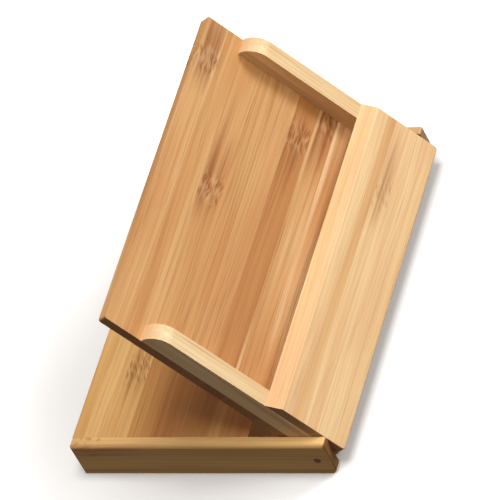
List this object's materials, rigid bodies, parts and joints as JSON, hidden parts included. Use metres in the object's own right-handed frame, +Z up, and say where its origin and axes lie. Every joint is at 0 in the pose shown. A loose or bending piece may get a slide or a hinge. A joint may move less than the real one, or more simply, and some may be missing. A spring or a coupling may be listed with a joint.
{
  "type": "business card box",
  "caption": "Flat bamboo business card box: a shallow case lying upside down, with its hinged card-tray lid folded back over it.",
  "frame": {"origin": "on the table under the middle of the part as pictured, midway between the case's front edge and the furthest reach of the lid's rear edge", "axes": "+Z up from the table, +X from the case's front edge to its hinge edge, +Y from the left end wall to the right, along the hinge axis"},
  "size_m": [0.079, 0.11, 0.0648],
  "materials": {
    "bamboo_case": "satin lacquer over sanded bamboo",
    "bamboo_wall": "satin lacquer over sanded bamboo",
    "bamboo_tray": "satin lacquer over sanded bamboo",
    "bamboo_rail": "satin lacquer over sanded bamboo",
    "bamboo_cover": "satin lacquer over sanded bamboo",
    "hinge_pin": "dull steel, darkened"
  },
  "bodies": {
    "case": {"bottom_panel": "bamboo_case", "left_end_wall": "bamboo_wall", "right_end_wall": "bamboo_wall", "front_strip": "bamboo_case", "left_hinge_pin": "hinge_pin", "right_hinge_pin": "hinge_pin"},
    "lid": {"lid_panel": "bamboo_tray", "left_card_rail": "bamboo_rail", "right_card_rail": "bamboo_rail", "rear_spacer": "bamboo_rail", "rear_cover": "bamboo_cover"}
  },
  "joints": [
    {"name": "lid_swing", "type": "hinge", "parent": "case", "child": "lid", "pos_m": [0.03234, 0, 0.0057], "axis": [0, 1, 0], "range_deg": [-22.5, 302]}
  ]
}
